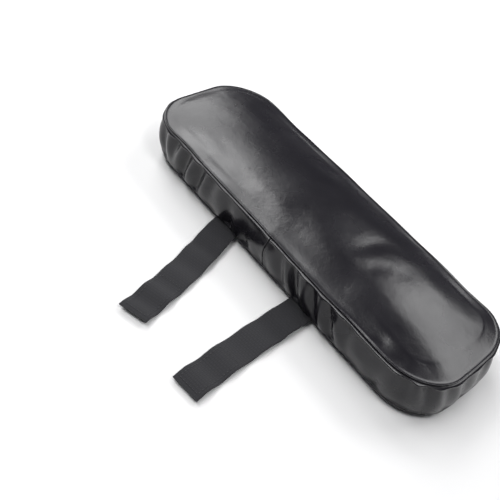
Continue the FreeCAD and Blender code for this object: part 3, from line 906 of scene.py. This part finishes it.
def weave(nodes, given):
    """Plain weave: yarns that pass over and under each other, as a height."""
    split = nodes.add("ShaderNodeSeparateXYZ", {0: given["Vector"]})
    x = nodes.math("DIVIDE", split.outputs[0], given["Pitch"])
    y = nodes.math("DIVIDE", nodes.math("DIVIDE", split.outputs[1], given["Pitch"]), given["Stretch"])
    cells = nodes.math("ADD", nodes.math("FLOOR", x), nodes.math("FLOOR", y))
    over = nodes.math("FLOORED_MODULO", cells, 2.0)
    wave_x, wave_y = (
        nodes.math("ABSOLUTE", nodes.math("SINE", nodes.math("MULTIPLY", c, math.pi))) for c in (x, y)
    )
    warp = nodes.math("MULTIPLY", wave_x, nodes.math("ADD", nodes.math("MULTIPLY", wave_y, 0.5), 0.5))
    weft = nodes.math("MULTIPLY", wave_y, nodes.math("ADD", nodes.math("MULTIPLY", wave_x, 0.4), 0.3))
    return nodes.add("ShaderNodeMix", {"Factor": over, "A": warp, "B": weft}, data_type="FLOAT").outputs[0]


def mottle(nodes, given):
    """Soft patches, for small changes of shade and gloss over a surface."""
    scale = nodes.math("DIVIDE", 1.0, given["Size"])
    cloud = nodes.add("ShaderNodeTexNoise", {"Vector": given["Vector"], "Scale": scale, "Detail": 3.0})
    return cloud.outputs[0]


def grain(nodes, given):
    """Leather grain: small rounded cells with fine creases between them, as a height."""
    place = given["Vector"]
    scale = nodes.math("DIVIDE", 1.0, given["Cell"])
    wide = nodes.math("MULTIPLY", scale, 0.22)
    cells = nodes.add("ShaderNodeTexVoronoi", {"Vector": place, "Scale": scale, "Randomness": 0.9},
                      feature="SMOOTH_F1")
    inputs = {"Vector": place, "Scale": wide, "Detail": 4.0, "Distortion": 0.6}
    crease = nodes.add("ShaderNodeTexNoise", inputs)
    rounded = nodes.math("MULTIPLY", nodes.math("SUBTRACT", 1.0, cells.outputs["Distance"]), 0.6)
    return nodes.math("ADD", rounded, nodes.math("MULTIPLY", crease.outputs[0], 0.9))


GROUPS = {
    "Plain Weave": (weave, {"Pitch": 0.0008, "Stretch": 1.0}),
    "Mottle": (mottle, {"Size": 0.02}),
    "Leather Grain": (grain, {"Cell": 0.001}),
}


def group_tree(name):
    """The node group of that name, made the first time that it is asked for."""
    if name not in bpy.data.node_groups:
        make, sizes = GROUPS[name]
        tree = bpy.data.node_groups.new(name, "ShaderNodeTree")
        tree.interface.new_socket(name="Vector", in_out="INPUT", socket_type="NodeSocketVector")
        for label, default in sizes.items():
            socket = tree.interface.new_socket(name=label, in_out="INPUT", socket_type="NodeSocketFloat")
            socket.default_value = default
        tree.interface.new_socket(name="Result", in_out="OUTPUT", socket_type="NodeSocketFloat")
        nodes = Nodes(tree)
        made = make(nodes, nodes.add("NodeGroupInput").outputs)
        nodes.add("NodeGroupOutput", {"Result": made})
    return bpy.data.node_groups[name]


def start_material(name):
    """A new material with its tree, shader and object coordinates, or the finished one of that name."""
    if name in bpy.data.materials:
        return bpy.data.materials[name], None, None, None
    material = bpy.data.materials.new(name)
    material.use_nodes = True
    nodes = Nodes(material.node_tree)
    shader = next(n for n in material.node_tree.nodes if n.type == "BSDF_PRINCIPLED")
    place = nodes.add("ShaderNodeTexCoord").outputs["Object"]
    return material, nodes, shader, place


def shade_range(nodes, amount, colour, low, high):
    """A colour that moves between two brightnesses of itself as amount goes from 0 to 1."""
    dark, pale = ((*[c * level for c in colour], 1.0) for level in (low, high))
    return nodes.add("ShaderNodeMix", {"Factor": amount, 6: dark, 7: pale}, data_type="RGBA").outputs[2]


def spread(nodes, amount, low, high):
    """Amount from 0 to 1 as a number from low to high."""
    inputs = {"Value": amount, "From Min": 0.3, "From Max": 0.7, "To Min": low, "To Max": high}
    return nodes.add("ShaderNodeMapRange", inputs).outputs[0]


def relief(nodes, height, strength, distance, normal=None):
    inputs = {"Height": height, "Strength": strength, "Distance": distance}
    if normal is not None:
        inputs["Normal"] = normal
    return nodes.add("ShaderNodeBump", inputs).outputs[0]


def use_group(nodes, name, **inputs):
    return nodes.add("ShaderNodeGroup", inputs, node_tree=group_tree(name)).outputs[0]


def leather_material(look):
    material, nodes, shader, place = start_material("cover_leather")
    if nodes:
        patches, waves, fine = (
            use_group(nodes, "Mottle", Vector=place, Size=size) for size in (0.03, 0.011, 0.004)
        )
        cells = use_group(nodes, "Leather Grain", Vector=place, Cell=0.0009)
        soft = relief(nodes, fine, 0.12, 0.0006, relief(nodes, waves, 0.12, 0.0012))
        nodes.fill(shader, {
            "Base Color": shade_range(nodes, patches, look.colour, 0.8, 1.3),
            "Roughness": spread(nodes, patches, look.roughness - 0.03, look.roughness + 0.05),
            "Normal": relief(nodes, cells, 0.16, 0.00022, soft),
            "Coat Weight": 0.10, "Coat Roughness": 0.20, "IOR": 1.42,
        })
    return material


def cloth_material(name, colour, place_kind, pitch, stretch, roughness, depth, sheen):
    """A woven cloth: weave relief, painted shade in the gaps between the yarns, patches of random tone and a
    soft sheen.
    """
    material, nodes, shader, place = start_material(name)
    if nodes:
        if place_kind == "UV":
            place = nodes.add("ShaderNodeUVMap", uv_map="cloth").outputs[0]
        yarns = use_group(nodes, "Plain Weave", Vector=place, Pitch=pitch, Stretch=stretch)
        patches = use_group(nodes, "Mottle", Vector=place, Size=0.012)
        # Colour follows the weave's height, lighter on the yarn tops and darker in the gaps: painted shade,
        # with random tone from the patches.
        yarn_gap_shade_and_tone = nodes.math("ADD", nodes.math("MULTIPLY", yarns, 0.75), nodes.math("MULTIPLY", patches, 0.5))
        nodes.fill(shader, {
            "Base Color": shade_range(nodes, yarn_gap_shade_and_tone, colour, 0.62, 1.3),
            "Roughness": spread(nodes, patches, roughness - 0.04, roughness + 0.04),
            "Normal": relief(nodes, yarns, 0.55, depth),
            "Sheen Weight": sheen, "Sheen Roughness": 0.5, "Specular IOR Level": 0.25,
        })
    return material


def webbing_material(look):
    return cloth_material("strap_webbing", look.colour, "UV", look.rib_pitch, 1.6, 0.88, 0.00014, 0.12)


def patchy_material(name, colour, size, shades, gloss, bump=None, gloss_size=None, more=None):
    """A finish whose shade and relief follow soft patches of one size, and its gloss those of another."""
    material, nodes, shader, place = start_material(name)
    if nodes:
        patches, dull = (use_group(nodes, "Mottle", Vector=place, Size=s) for s in (size, gloss_size or size))
        nodes.fill(shader, {
            "Base Color": shade_range(nodes, patches, colour, *shades),
            "Roughness": spread(nodes, dull, *gloss),
        })
        if bump:
            nodes.fill(shader, {"Normal": relief(nodes, patches, *bump)})
        nodes.fill(shader, more or {})
    return material


def nap_material(name, look, size):
    """The napped face of a loop patch or the bristle of a hook patch."""
    return patchy_material(name, look.colour, size, (0.35, 1.1), (0.88, 0.97), (0.8, 0.0006), 0.008,
                           {"Sheen Weight": 0.4, "Sheen Roughness": 0.6})


def thread_material():
    colour = (0.026, 0.026, 0.029)
    return patchy_material("sewing_thread", colour, 0.0006, (0.7, 1.3), (0.55, 0.7), (0.4, 0.0001))


def foam_material():
    material, nodes, shader, place = start_material("open_foam")
    if nodes:
        bubbles = nodes.add("ShaderNodeTexVoronoi", {"Vector": place, "Scale": 900.0}, feature="F1")
        depth = bubbles.outputs["Distance"]
        # The pores' hollows are coloured darker than their walls: painted shade in the pores.
        nodes.fill(shader, {
            "Base Color": shade_range(nodes, depth, (0.16, 0.16, 0.17), 0.6, 1.2),
            "Roughness": spread(nodes, depth, 0.9, 0.97), "Normal": relief(nodes, depth, 0.7, 0.0005),
        })
    return material


# ---------------- cover, base and zip


SWOLLEN = {}


def swollen_cover(look):
    """The cover's net and its points after the filling has pressed it out, worked out once."""
    if "net" not in SWOLLEN:
        net = CoverNet(look)
        SWOLLEN["net"] = net
        SWOLLEN["points"] = swell(net, look)
    return SWOLLEN["net"], SWOLLEN["points"]


class ARMREST_OT_cover(bpy.types.Operator):
    """Builds the stuffed leather cover: the top panel and the two halves of the side band"""

    bl_idname = "armrest.cover"
    bl_label = "Leather Cover"

    def execute(self, context):
        look = context.scene.armrest_cover
        net, points = swollen_cover(look)
        leather = leather_material(look)
        make_top_panel(net, points, leather)
        make_band_half(net, points, "side_band_right", FRONT_JOIN, leather, "boxing_right")
        make_band_half(net, points, "side_band_left", REAR_JOIN, leather, "boxing_left")
        make_foam(net, points, foam_material())
        return {"FINISHED"}


class ARMREST_OT_seams(bpy.types.Operator):
    """Sews the top seam, the base seam and the two upright joins of the side band"""

    bl_idname = "armrest.seams"
    bl_label = "Seam Stitching"

    def execute(self, context):
        net, points = swollen_cover(context.scene.armrest_cover)
        thread = thread_material()
        for name, ring in (("top_seam", TOP_RING), ("base_seam", BASE_RING)):
            line = rings_of(points, ring, ring + 1)[0] - 0.75 * net.outwards
            sewn = stitches(f"{name}_stitches", line, UP, 2.8, 0.2, thread, closed=True)
            finish_piece(sewn, "pad", "thread", f"{name}_thread")
        rows = rings_of(points, TOP_RING, BASE_RING + 1)
        bend_join(rows, np.zeros(AROUND))
        for name, column in (("front_join", FRONT_JOIN), ("rear_join", REAR_JOIN)):
            out = net.outwards[column]
            line = [row[column] - 0.75 * out for row in rows]
            sewn = stitches(f"{name}_stitches", line, out, 2.6, 0.2, thread)
            finish_piece(sewn, "pad", "thread", f"{name}_thread")
        return {"FINISHED"}


class ARMREST_OT_base(bpy.types.Operator):
    """Builds the fabric base in two panels either side of the zip, with hemmed edges and top stitching"""

    bl_idname = "armrest.base"
    bl_label = "Fabric Base"

    def execute(self, context):
        look = context.scene.armrest_base
        net, points = swollen_cover(context.scene.armrest_cover)
        pitch = look.thread_pitch
        cloth = cloth_material("base_cloth", look.colour, "Object", pitch, 1.0, 0.9, 0.00022, 0.18)
        end = SLOT_END + 2.6
        for name, side in (("front", -1), ("rear", 1)):
            make_base_panel(net, points, f"base_cloth_{name}", side, cloth, f"base_panel_{name}")
        for name, side in (("front", -1), ("rear", 1)):
            y = ZIP_Y + side * (SLOT_HALF + 2.4)
            line = [(side * end * (1 - k / 100), y, 0.10) for k in range(201)]
            sewn = stitches(f"zip_hem_stitches_{name}", line, -UP, look.stitch / MM, 0.22, thread_material())
            finish_piece(sewn, "pad", "thread")
        return {"FINISHED"}


class ARMREST_OT_zip(bpy.types.Operator):
    """Builds the zip: two woven tapes with their coils, and the finish of the slider, pull and stops"""

    bl_idname = "armrest.zip"
    bl_label = "Base Zip"

    def execute(self, context):
        look = context.scene.armrest_base
        tape_cloth = cloth_material("zip_tape_cloth", look.colour, "UV", 0.0006, 1.0, 0.85, 0.00015, 0.15)
        plastic = patchy_material("zip_coil_plastic", (0.022, 0.022, 0.024), 0.003, (0.8, 1.2), (0.3, 0.42))
        lacquer = patchy_material(
            "zip_lacquer", (0.03, 0.03, 0.032), 0.002, (0.7, 1.5), (0.24, 0.4), (0.08, 0.0001),
            more={"Metallic": 0.6, "Coat Weight": 0.4},
        )
        for name in ("front", "rear"):
            self.make_tape(name, tape_cloth)
            self.make_coil(name, look.coil_pitch / MM, plastic)
        for node in ("zip_slider", "zip_pull", "zip_top_stop", "zip_bottom_stop"):
            obj = frame["nodes"][node]
            obj.data.materials.clear()
            obj.data.materials.append(lacquer)
        return {"FINISHED"}

    def make_tape(self, name, material):
        low, high = (np.array(c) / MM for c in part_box(f"zip_tape_{name}"))
        _, y, z = 0.5 * (low + high)
        across = np.array([0.0, 1.0, 0.0])
        stations = [(x, np.array([x, y, z]), across, UP) for x in np.linspace(low[0], high[0], 47)]
        tape = sweep_strip(f"zip_tape_{name}_cloth", stations, *(0.5 * (high - low)[1:]), material, 0)
        finish_piece(tape, "pad", "zip_tape", f"zip_tape_{name}")

    def make_coil(self, name, pitch, material):
        low, high = (np.array(c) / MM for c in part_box(f"zip_coil_{name}"))
        middle = 0.5 * (low + high)
        wire = 0.22
        per_turn = 8
        steps = int((high[0] - low[0]) / pitch) * per_turn
        curve = bpy.data.curves.new(f"zip_coil_{name}_wire", "CURVE")
        curve.dimensions = "3D"
        curve.bevel_depth = wire * MM
        curve.bevel_resolution = curve.resolution_u = 1
        curve.use_fill_caps = True
        line = curve.splines.new("POLY")
        line.points.add(steps)
        _, half_y, half_z = 0.5 * (high - low) - wire
        for k in range(steps + 1):
            angle = 2 * math.pi * k / per_turn
            x = low[0] + wire + (high[0] - low[0] - 2 * wire) * k / steps
            y = middle[1] + half_y * math.cos(angle)
            z = middle[2] + half_z * math.sin(angle)
            line.points[k].co = (x * MM, y * MM, z * MM, 1)
        wire_curve = bpy.data.objects.new(f"zip_coil_{name}_wire", curve)
        bpy.context.scene.collection.objects.link(wire_curve)
        bpy.context.view_layer.update()
        graph = bpy.context.evaluated_depsgraph_get()
        turns = bpy.data.meshes.new_from_object(wire_curve.evaluated_get(graph))
        bpy.data.objects.remove(wire_curve)
        bpy.data.curves.remove(curve)
        coil = bpy.data.objects.new(f"zip_coil_{name}_turns", turns)
        bpy.context.scene.collection.objects.link(coil)
        turns.materials.clear()
        turns.materials.append(material)
        turns.polygons.foreach_set("use_smooth", [True] * len(turns.polygons))
        finish_piece(coil, "pad", "zip_coil", f"zip_coil_{name}")


# ---------------- stage


class ARMREST_OT_stage(bpy.types.Operator):
    """Sets the floor, the soft lights and the camera"""

    bl_idname = "armrest.stage"
    bl_label = "Studio Stage"

    def execute(self, context):
        look = context.scene.armrest_stage
        self.make_floor(look)
        self.make_lights(look)
        self.make_camera(look)
        context.scene.view_settings.view_transform = "Standard"
        return {"FINISHED"}

    def make_floor(self, look):
        material, nodes, shader, place = start_material("pale_floor")
        nodes.fill(shader, {
            "Base Color": (*look.floor_colour, 1.0), "Roughness": 0.9, "Specular IOR Level": 0.1
        })
        corners = [(x * 3000, y * 3000, -0.15) for x, y in ((-1, -1), (1, -1), (1, 1), (-1, 1))]
        floor = mesh_object("floor", corners, [(0, 1, 2, 3)], material, smooth=False)

    def make_lights(self, look):
        world = bpy.data.worlds.new("soft_room")
        bpy.context.scene.world = world
        world.use_nodes = True
        sky = next(n for n in world.node_tree.nodes if n.type == "BACKGROUND")
        sky.inputs["Color"].default_value = (0.92, 0.92, 1.0, 1.0)
        sky.inputs["Strength"].default_value = 0.10 * look.light
        for name, place, aim, width, height, power in (
            ("left_softbox", (-0.98, 0.42, 0.72), (-0.02, 0.0, 0.0), 0.60, 0.80, 4.7),
            ("rear_softbox", (0.10, 0.85, 0.95), (0.06, 0.0, 0.0), 0.86, 0.40, 5.2),
            ("margin_softbox", (-0.68, 0.16, 0.95), (0.0, 0.0, 0.0), 0.34, 0.30, 2.2),
            ("front_softbox", (-0.22, -0.36, 0.94), (0.0, 0.0, 0.0), 0.90, 0.26, 5.5),
            ("side_softbox", (0.50, -0.08, 0.95), (0.0, 0.0, 0.0), 0.25, 0.30, 2.5),
        ):
            data = bpy.data.lights.new(name, "AREA")
            data.shape = "RECTANGLE"
            data.size, data.size_y = width, height
            data.energy = power * look.light
            lamp = bpy.data.objects.new(name, data)
            bpy.context.scene.collection.objects.link(lamp)
            lamp.location = place
            lamp.rotation_euler = (Vector(aim) - Vector(place)).to_track_quat("-Z", "Y").to_euler()

    def make_camera(self, look):
        azimuth, elevation, roll = (math.radians(a) for a in (38.9, 44.57, 18.14))
        level = Vector((math.cos(azimuth), math.sin(azimuth), 0.0))
        flat = Vector((math.sin(azimuth), -math.cos(azimuth), 0.0))
        back = math.cos(elevation) * flat + Vector((0.0, 0.0, math.sin(elevation)))
        right = math.cos(roll) * level + math.sin(roll) * back.cross(level)
        up = back.cross(right)
        data = bpy.data.cameras.new("camera")
        data.lens = look.lens
        data.sensor_width = 36.0
        data.clip_start = 0.01
        camera = bpy.data.objects.new("camera", data)
        turn = Matrix((right, up, back)).transposed().to_4x4()
        camera.matrix_world = Matrix.Translation(Vector(look.camera_place)) @ turn
        bpy.context.scene.collection.objects.link(camera)
        bpy.context.scene.camera = camera


# ---------------- panel and registration


class ARMREST_PT_panel(bpy.types.Panel):
    """Lists the pieces of the armrest pad in the sidebar"""

    bl_idname = "ARMREST_PT_panel"
    bl_label = "Armrest Pad"
    bl_space_type = "VIEW_3D"
    bl_region_type = "UI"
    bl_category = "Armrest Pad"

    def draw(self, context):
        for title, settings, operators in (
            ("Cover", "armrest_cover", ("armrest.cover", "armrest.seams")),
            ("Base and Zip", "armrest_base", ("armrest.base", "armrest.zip")),
            ("Straps", "armrest_strap", ("armrest.long_straps", "armrest.hook_tabs")),
            ("Stage", "armrest_stage", ("armrest.stage",)),
        ):
            box = self.layout.box()
            box.label(text=title)
            group = getattr(context.scene, settings)
            for key in group.__annotations__:
                box.prop(group, key)
            for operator in operators:
                box.operator(operator)


SETTINGS = (
    ("armrest_cover", PadCoverSettings),
    ("armrest_base", PadBaseSettings),
    ("armrest_strap", PadStrapSettings),
    ("armrest_stage", PadStageSettings),
)
CLASSES = (
    ARMREST_OT_cover,
    ARMREST_OT_seams,
    ARMREST_OT_base,
    ARMREST_OT_zip,
    ARMREST_OT_long_straps,
    ARMREST_OT_hook_tabs,
    ARMREST_OT_stage,
    ARMREST_PT_panel,
)


def register():
    for name, kind in SETTINGS:
        bpy.utils.register_class(kind)
        setattr(bpy.types.Scene, name, PointerProperty(type=kind))
    for kind in CLASSES:
        bpy.utils.register_class(kind)


def unregister():
    for kind in reversed(CLASSES):
        bpy.utils.unregister_class(kind)
    for name, kind in reversed(SETTINGS):
        delattr(bpy.types.Scene, name)
        bpy.utils.unregister_class(kind)


def main():
    register()
    bpy.ops.armrest.cover()
    bpy.ops.armrest.seams()
    bpy.ops.armrest.base()
    bpy.ops.armrest.zip()
    bpy.ops.armrest.long_straps()
    bpy.ops.armrest.hook_tabs()
    bpy.ops.armrest.stage()
    bpy.context.view_layer.update()


if __name__ == "__main__":
    main()
